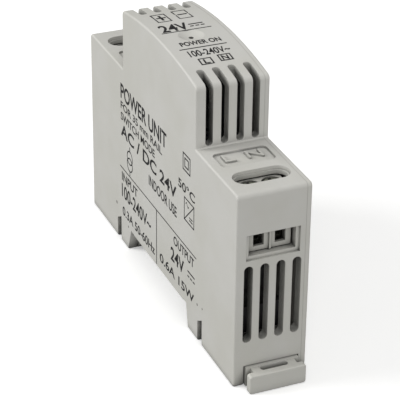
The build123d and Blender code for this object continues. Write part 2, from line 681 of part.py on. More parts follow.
def transformer_core():
    """Two ferrite E halves that meet across the middle."""
    x, y, z = TRANSFORMER_AT
    depth = (y - CORE_DEPTH / 2, y + CORE_DEPTH / 2)
    halves = []
    for sign in (-1, 1):
        outer = sorted((z + sign * 0.02, z + sign * CORE_HEIGHT / 2))
        half = block((x - CORE_WIDTH / 2, x + CORE_WIDTH / 2), depth, outer)
        window = sorted((z, z + sign * (CORE_HEIGHT / 2 - CORE_LEG)))
        for across in (-1, 1):
            limits = sorted((x + across * CORE_CENTRE / 2, x + across * (CORE_WIDTH / 2 - CORE_LEG)))
            half -= block(limits, (depth[0] - 1, depth[1] + 1), window)
        halves.append(half)
    return halves


def around_centre_leg(half_x, half_y, half_z):
    """A box about the transformer's centre."""
    x, y, z = TRANSFORMER_AT
    return block((x - half_x, x + half_x), (y - half_y, y + half_y), (z - half_z, z + half_z))


TUBE_HALF_X = CORE_CENTRE / 2 + 0.1 + BOBBIN_WALL
TUBE_HALF_Y = CORE_DEPTH / 2 + 0.1 + BOBBIN_WALL
TAPE_THICKNESS = 0.2


def transformer_bobbin():
    """Winding former: square tube, two flanges, and two pin rails on the board."""
    x, y, z = TRANSFORMER_AT
    former = around_centre_leg(TUBE_HALF_X, TUBE_HALF_Y, BOBBIN_HALF_LENGTH)
    for sign in (-1, 1):
        flange = sorted((z + sign * (BOBBIN_HALF_LENGTH - 0.7), z + sign * BOBBIN_HALF_LENGTH))
        former += block((x - 5.9, x + 5.9), (y - 6.3, y + 6.3), flange)
        rail = sorted((z + sign * (BOBBIN_HALF_LENGTH - 0.7), z + sign * 9.6))
        former += block((x - 6.4, x + 6.4), (BOARD_FACE_Y + 0.15, y - CORE_DEPTH / 2 - 0.3), rail)
    former -= around_centre_leg(CORE_CENTRE / 2 + 0.1, CORE_DEPTH / 2 + 0.1, 20)
    return former + pins(LEADS["transformer"], BOARD_FACE_Y + 1)


def transformer_winding():
    """Primary and secondary as one copper body round the former."""
    body = around_centre_leg(WINDING_HALF_X, WINDING_HALF_Y, BOBBIN_HALF_LENGTH - 0.75)
    body = fillet(along(body, Axis.Z), 1.2)
    return body - around_centre_leg(TUBE_HALF_X, TUBE_HALF_Y, 20)


def transformer_tape():
    """Insulating tape over the winding."""
    half_z = BOBBIN_HALF_LENGTH - 0.8
    grown = around_centre_leg(WINDING_HALF_X + TAPE_THICKNESS, WINDING_HALF_Y + TAPE_THICKNESS, half_z)
    grown = fillet(along(grown, Axis.Z), 1.2 + TAPE_THICKNESS)
    inner = around_centre_leg(WINDING_HALF_X, WINDING_HALF_Y, 20)
    return grown - fillet(along(inner, Axis.Z), 1.2)


SINK_Y = (3.6, 4.8)
SWITCH_HOLE_Z = 50.4
SINK_SCREW_RADIUS = 1.25


def heat_sink():
    """Bent aluminium plate behind the switching transistor, with its foot on the board."""
    plate = block((4.2, 19.0), SINK_Y, (41.4, 53.4))
    plate += block((4.2, 5.4), (BOARD_FACE_Y, SINK_Y[1]), (44.0, 53.4))
    bend = [e for e in along(plate, Axis.Z) if e.center().X < 4.3 and e.center().Y > SINK_Y[1] - 0.01]
    plate = fillet(bend, 1.0)
    return plate - rod(SINK_SCREW_RADIUS + 0.05, (12.0, SWITCH_HOLE_Z), (0, 6))


def switching_transistor():
    """Three-leg transistor against the heat sink."""
    body = block(SWITCH_X, (SINK_Y[0] - 3.0, SINK_Y[0]), (42.6, 53.2))
    body = chamfer(along(body, Axis.Z).sort_by(Axis.Y)[:2], 0.4)
    body -= rod(SINK_SCREW_RADIUS + 0.05, (12.0, SWITCH_HOLE_Z), (0, 4))
    leg_y = SINK_Y[0] - 1.8
    for x, z in LEADS["switch"]:
        body += rod(LEAD_RADIUS, (x, leg_y), (z, 43.0), Axis.Z)
        body += rod(LEAD_RADIUS, (x, z), (LEAD_END_Y, leg_y))
        body += Pos(x, leg_y, z) * Sphere(LEAD_RADIUS)
    return body


def heat_sink_screw():
    """Pan-head screw that holds the transistor to the heat sink, with its nut side flush."""
    head_y = SINK_Y[0] - 3.0
    screw = rod(SINK_SCREW_RADIUS, (12.0, SWITCH_HOLE_Z), (head_y - 0.1, SINK_Y[1] + 0.6))
    head = rod(2.2, (12.0, SWITCH_HOLE_Z), (head_y - 1.5, head_y))
    head = fillet(head.edges().filter_by(GeomType.CIRCLE).sort_by(Axis.Y)[:1], 0.6)
    slot = block((9.0, 15.0), (head_y - 3, head_y - 0.8), (SWITCH_HOLE_Z - 0.3, SWITCH_HOLE_Z + 0.3))
    return screw + head - slot


def output_diode():
    """Axial rectifier diode along Z, leads bent down into the board."""
    x, y = DIODE_AT
    body = rod(2.5, (x, y), DIODE_Z, Axis.Z)
    body = fillet(body.edges().filter_by(GeomType.CIRCLE), 0.3)
    for lead_x, lead_z in LEADS["diode"]:
        inner = DIODE_Z[0] + 0.5 if lead_z < DIODE_Z[0] else DIODE_Z[1] - 0.5
        body += rod(LEAD_RADIUS, (lead_x, y), sorted((lead_z, inner)), Axis.Z)
        body += rod(LEAD_RADIUS, (lead_x, lead_z), (LEAD_END_Y, y))
        body += Pos(lead_x, y, lead_z) * Sphere(LEAD_RADIUS)
    return body


OUTPUT_CHOKE_Y = (BOARD_FACE_Y + 0.3, 3.6)


def output_choke_core():
    """Ferrite drum of the output choke."""
    low, high = OUTPUT_CHOKE_Y
    drum = rod(1.8, OUTPUT_CHOKE_AT, OUTPUT_CHOKE_Y)
    drum += rod(3.9, OUTPUT_CHOKE_AT, (low, low + 1.2))
    return drum + rod(3.9, OUTPUT_CHOKE_AT, (high - 1.2, high))


def output_choke_winding():
    """The drum's winding."""
    limits = (OUTPUT_CHOKE_Y[0] + 1.25, OUTPUT_CHOKE_Y[1] - 1.25)
    return rod(3.5, OUTPUT_CHOKE_AT, limits) - rod(1.85, OUTPUT_CHOKE_AT, (-8, 8))


def indicator_lamp():
    """Small domed lamp under the sight hole, on two bent leads."""
    top = FRONT_Z + CROWN_RISE - CROWN_WALL - 0.15
    radius = 1.5
    lamp = rod(radius, (LAMP_X, LAMP_Y), (53.2, top - radius), Axis.Z)
    lamp += Pos(LAMP_X, LAMP_Y, top - radius) * Sphere(radius)
    lamp += rod(1.85, (LAMP_X, LAMP_Y), (52.6, 53.4), Axis.Z)
    for x, z in LEADS["lamp"]:
        lamp += rod(0.25, (x, LAMP_Y), (z, 52.7), Axis.Z)
        lamp += rod(0.25, (x, z), (LEAD_END_Y, LAMP_Y))
        lamp += Pos(x, LAMP_Y, z) * Sphere(0.25)
    return lamp


def chip_resistors():
    """Small surface-mount resistors: a row of six low on the board and four by the output end."""
    rows = []
    for number in range(6):
        rows.append((8.4 - number * 3.0, 4.3))
    for number in range(4):
        rows.append((-10.5 - number * 2.6, 45.0 + (number % 2) * 3.4))
    parts = []
    for x, z in rows:
        parts.append(block((x - 0.62, x + 0.62), (BOARD_FACE_Y, BOARD_FACE_Y + 0.5), (z - 1.0, z + 1.0)))
    return parts


# ---------------------------------------------------------------- export
def pieces():
    """Every node of the object, by name."""
    nodes = {
        "housing_body": housing_body(),
        "side_cover": side_cover(),
        "rail_latch": rail_latch(),
        "latch_spring": latch_spring(),
        "circuit_board": circuit_board(),
        "fuse": fuse(),
        "varistor": disc_part(VARISTOR_AT, 4.4, 1.7, LEADS["varistor"]),
        "filter_capacitor": filter_capacitor(),
        "filter_choke_core": choke_core(),
        "filter_choke_windings": choke_windings(),
        "bridge_rectifier": through_hole_chip(BRIDGE_AT, (6.2, 8.2, 3.2), LEADS["bridge"]),
        "bulk_capacitor": bulk_capacitor(),
        "switching_transistor": switching_transistor(),
        "heat_sink": heat_sink(),
        "heat_sink_screw": heat_sink_screw(),
        "controller_chip": controller_chip(),
        "chip_resistors": chip_resistors(),
        "transformer_core": transformer_core(),
        "transformer_bobbin": transformer_bobbin(),
        "transformer_winding": transformer_winding(),
        "transformer_tape": transformer_tape(),
        "optocoupler": through_hole_chip(OPTO_AT, (6.0, 4.6, 3.4), LEADS["opto"]),
        "y_capacitor": disc_part(Y_CAPACITOR_AT, 3.6, 1.5, LEADS["y_capacitor"]),
        "output_diode": output_diode(),
        "output_capacitors": output_capacitors(),
        "output_choke_core": output_choke_core(),
        "output_choke_winding": output_choke_winding(),
        "indicator_lamp": indicator_lamp(),
    }
    for end, side in (("mains", 1), ("output", -1)):
        nodes[f"{end}_terminal_block"] = mirrored(terminal_block(), side)
        nodes[f"{end}_contact_pins"] = [mirrored(strip, side) for strip in contact_pins()]
        for number, y in enumerate(POLES_Y, start=1):
            nodes[f"{end}_screw_{number}"] = mirrored(terminal_screw(y), side)
            nodes[f"{end}_clamp_cage_{number}"] = mirrored(clamp_cage(y), side)
    return nodes


def main():
    """Writes one STEP file per node and prints what went into it."""
    os.makedirs("parts", exist_ok=True)
    for name, shape in pieces().items():
        solids = shape if isinstance(shape, list) else shape.solids()
        export_step(Compound(children=list(solids)) if len(solids) > 1 else solids[0], f"parts/{name}.step")
        print(f"{name}: {len(solids)} solid(s), {sum(s.volume for s in solids):.1f} mm3")
    travel = SCREW_TURNS * THREAD_PITCH
    print(f"clamp travel over the screw's range {travel:.3f} mm, {THREAD_PITCH / (2 * pi) / 1000:.6e} m/rad")


main()
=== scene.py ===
"""Looks of a one-module mains power supply for a 35 mm rail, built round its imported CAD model.

The frame is the CAD model's, in metres. The origin is the centre of the face that sits on the rail,
+Z points out of the panel through the crowned front, +X runs towards the mains terminals, and the
marked flank faces -Y. Sizes are written in millimetres, as on a drawing, and MM makes them metres.
"""

import logging
from collections.abc import Iterable
from dataclasses import dataclass
from enum import Enum

import bmesh
import bpy
import numpy as np
from mathutils import Matrix, Vector


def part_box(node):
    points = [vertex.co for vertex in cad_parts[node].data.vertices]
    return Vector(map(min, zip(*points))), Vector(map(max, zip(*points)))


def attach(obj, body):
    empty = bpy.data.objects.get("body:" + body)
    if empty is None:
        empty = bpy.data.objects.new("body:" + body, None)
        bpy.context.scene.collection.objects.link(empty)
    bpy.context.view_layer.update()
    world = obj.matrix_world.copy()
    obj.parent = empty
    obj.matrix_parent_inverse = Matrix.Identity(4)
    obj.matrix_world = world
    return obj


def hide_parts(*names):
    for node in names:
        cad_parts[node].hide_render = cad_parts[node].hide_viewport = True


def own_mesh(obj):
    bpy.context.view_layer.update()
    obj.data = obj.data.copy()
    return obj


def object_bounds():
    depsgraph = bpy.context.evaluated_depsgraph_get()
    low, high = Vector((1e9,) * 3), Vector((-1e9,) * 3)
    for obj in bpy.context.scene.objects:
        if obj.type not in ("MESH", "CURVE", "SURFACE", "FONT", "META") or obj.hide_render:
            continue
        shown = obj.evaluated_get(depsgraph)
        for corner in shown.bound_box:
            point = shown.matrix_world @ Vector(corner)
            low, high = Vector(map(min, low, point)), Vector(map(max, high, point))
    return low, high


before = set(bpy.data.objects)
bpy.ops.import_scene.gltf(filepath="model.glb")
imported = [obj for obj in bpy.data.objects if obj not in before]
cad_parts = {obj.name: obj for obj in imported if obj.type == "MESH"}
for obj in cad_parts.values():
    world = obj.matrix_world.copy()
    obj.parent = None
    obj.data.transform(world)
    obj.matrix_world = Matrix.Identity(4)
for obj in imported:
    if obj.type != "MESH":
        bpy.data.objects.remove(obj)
cad_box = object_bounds()

MM = 0.001
SMOOTH_ANGLE = np.radians(35.0)
MERGE_DISTANCE = 1e-7
X_AXIS = (1.0, 0.0, 0.0)
LOG = logging.getLogger("power_supply")

Colour = tuple[float, float, float]
Span = tuple[float, float]
Point = tuple[float, float]
WHITE = (1.0, 1.0, 1.0, 1.0)


def paint(red: int, green: int, blue: int) -> Colour:
    """A colour from its 0 to 255 screen values, as the linear values that shaders take."""
    share = np.array([red, green, blue]) / 255.0
    linear = np.where(share <= 0.04045, share / 12.92, ((share + 0.055) / 1.055) ** 2.4)
    return tuple(float(value) for value in linear)


# ---------------------------------------------------------------- shader graphs
class Graph:
    """A node tree being built, with short ways to add nodes and wire them."""

    def __init__(self, tree: bpy.types.NodeTree) -> None:
        """Starts on an empty tree."""
        self.tree = tree
        tree.nodes.clear()

    def add(self, kind: str, inputs: dict | None = None, **settings: object) -> bpy.types.Node:
        """Adds a node.

        Args:
            kind: the node's type name.
            inputs: a value or an output socket for each input, by its name or number.
            **settings: the node's own properties.

        Returns:
            The node.
        """
        node = self.tree.nodes.new(kind)
        for name, value in settings.items():
            setattr(node, name, value)
        for name, value in (inputs or {}).items():
            if isinstance(value, bpy.types.NodeSocket):
                self.tree.links.new(value, node.inputs[name])
            else:
                node.inputs[name].default_value = value
        return node

    def math(self, operation: str, *values: object, clamp: bool = False) -> bpy.types.NodeSocket:
        """The result of one Math node on the values or sockets given."""
        inputs = dict(enumerate(values))
        return self.add("ShaderNodeMath", inputs, operation=operation, use_clamp=clamp).outputs[0]

    def remap(self, value: object, low: float, high: float) -> bpy.types.NodeSocket:
        """A smooth ramp from 0 where the value is low to 1 where it is high."""
        inputs = {"Value": value, "From Min": low, "From Max": high}
        return self.add("ShaderNodeMapRange", inputs, interpolation_type="SMOOTHSTEP").outputs[0]

    def mix(self, share: object, under: object, over: object) -> bpy.types.NodeSocket:
        """The colour over laid on the colour under, by share."""
        node = self.add("ShaderNodeMix", {"Factor": share}, data_type="RGBA")
        for socket, value in ((node.inputs["A"], under), (node.inputs["B"], over)):
            colour_socket = next(s for s in node.inputs if s.name == socket.name and s.type == "RGBA")
            if isinstance(value, bpy.types.NodeSocket):
                self.tree.links.new(value, colour_socket)
            else:
                colour_socket.default_value = (*value, 1.0)
        return next(s for s in node.outputs if s.type == "RGBA")

    def use(self, group: bpy.types.NodeTree, **inputs: object) -> bpy.types.NodeOutputs:
        """Places a node group with its own input values and returns its outputs."""
        node = self.add("ShaderNodeGroup", node_tree=group)
        for name, value in inputs.items():
            node.inputs[name].default_value = value
        return node.outputs


def new_group(
    name: str, inputs: dict[str, float], outputs: dict[str, str]
) -> tuple[Graph, dict[str, bpy.types.NodeSocket], bpy.types.Node]:
    """An empty shader node group.

    Args:
        name: the group's name.
        inputs: each number input with its default.
        outputs: each output with its socket type.

    Returns:
        The graph inside, the input sockets by name and the output node.
    """
    tree = bpy.data.node_groups.new(name, "ShaderNodeTree")
    for label, value in inputs.items():
        socket = tree.interface.new_socket(label, in_out="INPUT", socket_type="NodeSocketFloat")
        socket.default_value = value
    for label, kind in outputs.items():
        tree.interface.new_socket(label, in_out="OUTPUT", socket_type=kind)
    graph = Graph(tree)
    entry = graph.add("NodeGroupInput")
    return graph, {label: entry.outputs[label] for label in inputs}, graph.add("NodeGroupOutput")


def grain_group() -> bpy.types.NodeTree:
    """Fine surface grain: two octaves of noise of one size, drawn out along Z by Stretch."""
    graph, given, out = new_group(
        "fine_grain", {"Size": 0.0002, "Stretch": 1.0}, {"Height": "NodeSocketFloat"}
    )
    place = graph.add("ShaderNodeTexCoord").outputs["Object"]
    pull = graph.add("ShaderNodeCombineXYZ", {0: 1.0, 1: 1.0, 2: graph.math("DIVIDE", 1.0, given["Stretch"])})
    pulled = graph.add("ShaderNodeVectorMath", {0: place, 1: pull.outputs[0]}, operation="MULTIPLY")
    scale = graph.math("DIVIDE", 1.0, given["Size"])
    noise = graph.add("ShaderNodeTexNoise", {"Vector": pulled.outputs[0], "Scale": scale, "Detail": 1.0})
    graph.tree.links.new(noise.outputs[0], out.inputs["Height"])
    return graph.tree


def drift_group() -> bpy.types.NodeTree:
    """Slow change of shade over a moulding: a cloud of noise of one size, with its contrast raised."""
    graph, given, out = new_group("colour_drift", {"Size": 0.02}, {"Amount": "NodeSocketFloat"})
    place = graph.add("ShaderNodeTexCoord").outputs["Object"]
    scale = graph.math("DIVIDE", 1.0, given["Size"])
    noise = graph.add("ShaderNodeTexNoise", {"Vector": place, "Scale": scale, "Detail": 3.0})
    graph.tree.links.new(graph.remap(noise.outputs[0], 0.32, 0.68), out.inputs["Amount"])
    return graph.tree


def edge_group() -> bpy.types.NodeTree:
    """Rounded corners and a rubbed-edge mask.

    The mask is one minus the cosine of the angle between the surface's own normal and the normal
    of the rounded corner, broken up by noise.
    """
    graph, given, out = new_group(
        "edge_wear", {"Width": 0.0002}, {"Normal": "NodeSocketVector", "Edge": "NodeSocketFloat"}
    )
    rounded = graph.add("ShaderNodeBevel", {"Radius": given["Width"]}, samples=6).outputs[0]
    own = graph.add("ShaderNodeNewGeometry").outputs["Normal"]
    cosine = graph.add("ShaderNodeVectorMath", {0: rounded, 1: own}, operation="DOT_PRODUCT").outputs["Value"]
    place = graph.add("ShaderNodeTexCoord").outputs["Object"]
    patches = graph.add("ShaderNodeTexNoise", {"Vector": place, "Scale": 900.0, "Detail": 2.0}).outputs[0]
    bend = graph.remap(graph.math("SUBTRACT", 1.0, cosine), 0.004, 0.16)
    graph.tree.links.new(rounded, out.inputs["Normal"])
    graph.tree.links.new(graph.math("MULTIPLY", bend, graph.remap(patches, 0.3, 0.7)), out.inputs["Edge"])
    return graph.tree


def dust_group() -> bpy.types.NodeTree:
    """Dust that settles on what faces up: the upward share of the normal, squared, times noise."""
    graph, given, out = new_group("settled_dust", {"Size": 0.003}, {"Amount": "NodeSocketFloat"})
    normal = graph.add("ShaderNodeNewGeometry").outputs["Normal"]
    up = graph.math("MAXIMUM", graph.add("ShaderNodeSeparateXYZ", {0: normal}).outputs["Z"], 0.0)
    place = graph.add("ShaderNodeTexCoord").outputs["Object"]
    scale = graph.math("DIVIDE", 1.0, given["Size"])
    noise = graph.add("ShaderNodeTexNoise", {"Vector": place, "Scale": scale, "Detail": 4.0}).outputs[0]
    amount = graph.math("MULTIPLY", graph.math("POWER", up, 2.0), graph.remap(noise, 0.35, 0.75))
    graph.tree.links.new(amount, out.inputs["Amount"])
    return graph.tree


def recess_group() -> bpy.types.NodeTree:
    """Shade in slots, seams and corners: none where the reach is 0.8 open, all where it is 0.15 open."""
    graph, given, out = new_group("recess_shade", {"Reach": 0.004}, {"Amount": "NodeSocketFloat"})
    nearby = graph.add("ShaderNodeAmbientOcclusion", {"Distance": given["Reach"]}, samples=8)
    graph.tree.links.new(graph.remap(nearby.outputs["AO"], 0.8, 0.15), out.inputs["Amount"])
    return graph.tree


def weave_group() -> bpy.types.NodeTree:
    """Glass cloth under lacquer: the higher of two crossed sine waves along X and Z."""
    graph, given, out = new_group("glass_weave", {"Pitch": 0.0006}, {"Height": "NodeSocketFloat"})
    split = graph.add("ShaderNodeSeparateXYZ", {0: graph.add("ShaderNodeTexCoord").outputs["Object"]})
    turn = graph.math("DIVIDE", 2.0 * np.pi, given["Pitch"])
    waves = [graph.math("SINE", graph.math("MULTIPLY", split.outputs[axis], turn)) for axis in ("X", "Z")]
    height = graph.math("MULTIPLY_ADD", graph.math("MAXIMUM", *waves), 0.5, 0.5)
    graph.tree.links.new(height, out.inputs["Height"])
    return graph.tree


# How far inside the flank's face a spot begins to show, and where it shows in full.
SPOT_DEPTH_LOW = 0.25 * MM
SPOT_DEPTH_HIGH = 0.05 * MM


def spot_group() -> bpy.types.NodeTree:
    """A round spot on the marked flank: one about a point (X, Z), fading over the radius's last fifth."""
    graph, given, out = new_group(
        "flank_spot", {"X": 0.0, "Z": 0.0, "Radius": 0.0004}, {"Amount": "NodeSocketFloat"}
    )
    split = graph.add("ShaderNodeSeparateXYZ", {0: graph.add("ShaderNodeTexCoord").outputs["Object"]})
    across = graph.math("SUBTRACT", split.outputs["X"], given["X"])
    up = graph.math("SUBTRACT", split.outputs["Z"], given["Z"])
    squares = graph.math("ADD", graph.math("MULTIPLY", across, across), graph.math("MULTIPLY", up, up))
    share = graph.math("DIVIDE", graph.math("SQRT", squares), given["Radius"])
    round_spot = graph.math("SUBTRACT", 1.0, graph.remap(share, 0.8, 1.0))
    flank_y = -cad_box[0][1]
    on_flank = graph.remap(
        graph.math("MULTIPLY", split.outputs["Y"], -1.0), flank_y - SPOT_DEPTH_LOW, flank_y - SPOT_DEPTH_HIGH
    )
    graph.tree.links.new(graph.math("MULTIPLY", round_spot, on_flank), out.inputs["Amount"])
    return graph.tree


class Effects:
    """The node groups that the finishes share, each built once."""

    def __init__(self) -> None:
        """Builds every group."""
        self.grain = grain_group()
        self.drift = drift_group()
        self.edge = edge_group()
        self.dust = dust_group()
        self.recess = recess_group()
        self.weave = weave_group()
        self.spot = spot_group()


class Texture(Enum):
    """What the fine relief of a finish is."""

    GRAIN = "spark-eroded grain"
    BRUSHED = "drawn or rolled lines"
    WEAVE = "woven glass under lacquer"


DUST_COLOUR = paint(214, 211, 203)
DUST_ROUGHNESS = 0.5
RECESS_SHARE = 0.06  # what is left of the shade's brightness deep in a recess
GRAIN_ROUGHNESS = 0.16
WEAR_POLISH = -0.12
BRUSHED_STRETCH = 30.0


@dataclass(frozen=True)
class Finish:
    """One procedural finish. Lengths are in millimetres, shares run from 0 to 1."""

    colour: Colour
    shade: Colour
    worn: Colour
    roughness: float
    metallic: float = 0.0
    texture: Texture = Texture.GRAIN
    grain: float = 0.14
    depth: float = 0.006
    drift_size: float = 14.0
    corner: float = 0.12
    wear: float = 0.5
    dust: float = 0.1
    recess: float = 0.5
    coat: float = 0.0
    transmission: float = 0.0

    def relief(self, graph: Graph, effects: Effects) -> bpy.types.NodeSocket:
        """The height of the fine relief, from 0 to 1."""
        if self.texture is Texture.WEAVE:
            return graph.use(effects.weave, Pitch=self.grain * MM)["Height"]
        stretch = BRUSHED_STRETCH if self.texture is Texture.BRUSHED else 1.0
        return graph.use(effects.grain, Size=self.grain * MM, Stretch=stretch)["Height"]

    def marks(self, graph: Graph, effects: Effects) -> list[tuple[bpy.types.NodeSocket, Colour]]:
        """Masks of lines or spots of this finish, each with its colour. A plain finish has none."""
        return []

    def material(self, name: str, effects: Effects) -> bpy.types.Material:
        """Builds the material.

        Args:
            name: the record's material slot.
            effects: the shared node groups.

        Returns:
            The finished material.
        """
        material = bpy.data.materials.new(f"{name}_finish")
        material.use_nodes = True
        graph = Graph(material.node_tree)
        height = self.relief(graph, effects)
        edge = graph.use(effects.edge, Width=self.corner * MM)
        drift = graph.use(effects.drift, Size=self.drift_size * MM)["Amount"]
        dust = graph.math("MULTIPLY", graph.use(effects.dust)["Amount"], self.dust)
        colour = graph.mix(drift, self.colour, self.shade)
        colour = graph.mix(graph.math("MULTIPLY", edge["Edge"], self.wear), colour, self.worn)
        colour = graph.mix(dust, colour, DUST_COLOUR)
        recess = graph.math("MULTIPLY", graph.use(effects.recess)["Amount"], self.recess)
        colour = graph.mix(recess, colour, tuple(RECESS_SHARE * share for share in self.shade))
        for mask, tint in self.marks(graph, effects):
            colour = graph.mix(mask, colour, tint)
        centred = graph.math("SUBTRACT", height, 0.5)
        rough = graph.math("MULTIPLY_ADD", centred, GRAIN_ROUGHNESS, self.roughness)
        rough = graph.math("MULTIPLY_ADD", edge["Edge"], WEAR_POLISH * self.wear, rough)
        rough = graph.math("MULTIPLY_ADD", dust, DUST_ROUGHNESS, rough, clamp=True)
        bump = graph.add(
            "ShaderNodeBump", {"Height": height, "Normal": edge["Normal"], "Distance": self.depth * MM}
        )
        shader = graph.add(
            "ShaderNodeBsdfPrincipled",
            {
                "Base Color": colour,
                "Roughness": rough,
                "Normal": bump.outputs[0],
                "Metallic": self.metallic,
                "Coat Weight": self.coat,
                "Transmission Weight": self.transmission,
            },
        )
        graph.add("ShaderNodeOutputMaterial", {"Surface": shader.outputs[0]})
        return material


@dataclass(frozen=True)
class HousingFinish(Finish):
    """The case plastic, with the parting line of tub and cover and the ejector marks on the flank.

    Each of the pips is the X and Z of an ejector mark, and its radius.
    """

    seam_y: float = 7.55
    seam_width: float = 0.06
    seam_colour: Colour = paint(160, 158, 151)
    pip_colour: Colour = paint(118, 116, 110)
    pips: tuple[tuple[float, float, float], ...] = (
        (-27.6, 3.3, 0.5),
        (-19.6, 0.4, 0.35),
        (24.3, 3.5, 0.4),
        (27.2, 4.0, 0.3),
    )

    def marks(self, graph: Graph, effects: Effects) -> list[tuple[bpy.types.NodeSocket, Colour]]:
        """The parting line, which fades out over its width to each side, and each ejector mark."""
        split = graph.add("ShaderNodeSeparateXYZ", {0: graph.add("ShaderNodeTexCoord").outputs["Object"]})
        away = graph.math("ABSOLUTE", graph.math("SUBTRACT", split.outputs["Y"], self.seam_y * MM))
        width = self.seam_width * MM
        line = graph.math("SUBTRACT", 1.0, graph.remap(away, 0.3 * width, width))
        found = [(line, self.seam_colour)]
        for x, z, radius in self.pips:
            spot = graph.use(effects.spot, X=x * MM, Z=z * MM, Radius=radius * MM)["Amount"]
            found.append((spot, self.pip_colour))
        return found


PLASTIC_GREY = paint(204, 203, 198)
PLASTIC_SHADE = paint(199, 198, 191)
PLASTIC_WORN = paint(216, 215, 210)
BLACK = paint(24, 24, 25)

FINISHES: dict[str, Finish] = {
    "housing_plastic": HousingFinish(
        PLASTIC_GREY, PLASTIC_SHADE, PLASTIC_WORN, 0.58, wear=0.05, recess=0.95
    ),
    "latch_plastic": Finish(paint(205, 204, 198), PLASTIC_SHADE, PLASTIC_WORN, 0.46, wear=0.4),
    "terminal_plastic": Finish(
        paint(196, 195, 188), paint(188, 187, 180), PLASTIC_WORN, 0.52, wear=0.2, recess=0.95
    ),
    "plated_steel": Finish(
        paint(168, 170, 156), paint(138, 140, 126), paint(214, 214, 206), 0.4, 1.0,
        Texture.BRUSHED, grain=0.05, depth=0.004, drift_size=1.2,
    ),
    "spring_steel": Finish(
        paint(150, 148, 142), paint(120, 118, 112), paint(190, 188, 182), 0.3, 1.0,
        Texture.BRUSHED, grain=0.04, depth=0.002, drift_size=2.0,
    ),
    "tinned_brass": Finish(
        paint(204, 200, 184), paint(176, 168, 140), paint(222, 220, 210), 0.34, 1.0,
        Texture.BRUSHED, grain=0.05, depth=0.003, drift_size=2.0,
    ),
    "board_laminate": Finish(
        paint(38, 92, 56), paint(30, 76, 46), paint(176, 170, 120), 0.32,
        texture=Texture.WEAVE, grain=0.6, depth=0.01, coat=0.3,
    ),
    "dark_plastic": Finish(BLACK, paint(38, 38, 38), paint(92, 92, 92), 0.5, wear=0.25, dust=0.03),
    "light_chip_plastic": Finish(paint(226, 222, 208), paint(212, 207, 192), paint(240, 238, 230), 0.42),
    "coated_ceramic_blue": Finish(
        paint(44, 92, 152), paint(34, 76, 132), paint(92, 136, 186), 0.28, grain=0.5, depth=0.02, coat=0.4
    ),
    # capacitor case: its own dark grey, made this dark as painted shade for the inside seen through the vent
    # slots
    "capacitor_case_grey": Finish(paint(48, 48, 49), paint(42, 42, 43), paint(92, 92, 92), 0.38),
    "capacitor_sleeve": Finish(
        paint(28, 38, 66), paint(22, 30, 54), paint(80, 92, 124), 0.25, grain=0.8, depth=0.012, coat=0.5
    ),
    "ferrite": Finish(
        paint(54, 54, 56), paint(42, 42, 44), paint(112, 112, 112), 0.62, grain=0.1, depth=0.012
    ),
    "copper_wire": Finish(
        paint(186, 98, 48), paint(158, 74, 34), paint(214, 140, 88), 0.24, 0.9,
        grain=0.1, depth=0.002, coat=0.6, drift_size=3.0, corner=0.03,
    ),
    "bobbin_plastic": Finish(paint(34, 33, 32), paint(26, 26, 26), paint(84, 82, 78), 0.44, wear=0.3),
    "insulating_tape": Finish(
        paint(226, 196, 74), paint(210, 176, 54), paint(238, 220, 140), 0.2,
        texture=Texture.BRUSHED, grain=0.3, depth=0.006, coat=0.4,
    ),
    "aluminium": Finish(
        paint(196, 198, 200), paint(178, 180, 184), paint(226, 228, 230), 0.36, 1.0,
        Texture.BRUSHED, grain=0.08, depth=0.005,
    ),
    "lamp_lens": Finish(
        paint(176, 196, 168), paint(160, 184, 152), paint(214, 226, 208), 0.16,
        grain=0.4, depth=0.002, transmission=0.5,
    ),
}
INK = Finish(
    paint(12, 12, 13), paint(20, 20, 21), paint(48, 48, 48), 0.75,
    grain=0.2, depth=0.003, corner=0.02, wear=0.05, dust=0.0,
)


class FinishShop:
    """Makes each finish's material the first time it is asked for."""

    def __init__(self) -> None:
        """Builds the shared effects."""
        self.effects = Effects()
        self.made: dict[str, bpy.types.Material] = {}

    def get(self, slot: str, finish: Finish | None = None) -> bpy.types.Material:
        """The material of a slot, or of a finish of its own under that name."""
        if slot not in self.made:
            self.made[slot] = (finish or FINISHES[slot]).material(slot, self.effects)
        return self.made[slot]


# ---------------------------------------------------------------- surfaces
@dataclass
class Patch:
    """Points, in millimetres, and the faces over them."""

    points: np.ndarray
    faces: list[list[int]]


def join(patches: Iterable[Patch]) -> Patch:
    """One patch of several, each patch's faces counted on from the points before it."""
    points: list[np.ndarray] = []
    faces: list[list[int]] = []
    count = 0
    for patch in patches:
        points.append(patch.points)
        faces += [[index + count for index in face] for face in patch.faces]
        count += len(patch.points)
    return Patch(np.concatenate(points), faces)


def lattice(points: np.ndarray, loop: bool) -> Patch:
    """A surface over a grid of points whose every row is a closed ring.

    Each face joins neighbours in a row to the same two in the next row.

    Args:
        points: the grid, rows by columns by 3.
        loop: whether the last row joins the first. If not, both end rings get a flat cap.

    Returns:
        The closed surface.
    """
    rows, columns = points.shape[:2]
    row, column = np.meshgrid(np.arange(rows if loop else rows - 1), np.arange(columns), indexing="ij")
    ahead, beside = (row + 1) % rows * columns, (column + 1) % columns
    here = row * columns
    quads = np.stack([here + column, here + beside, ahead + beside, ahead + column], axis=-1)
    faces = quads.reshape(-1, 4).tolist()
    if not loop:
        ring = np.arange(columns)
        faces += [ring[::-1].tolist(), (ring + (rows - 1) * columns).tolist()]
    return Patch(points.reshape(-1, 3), faces)


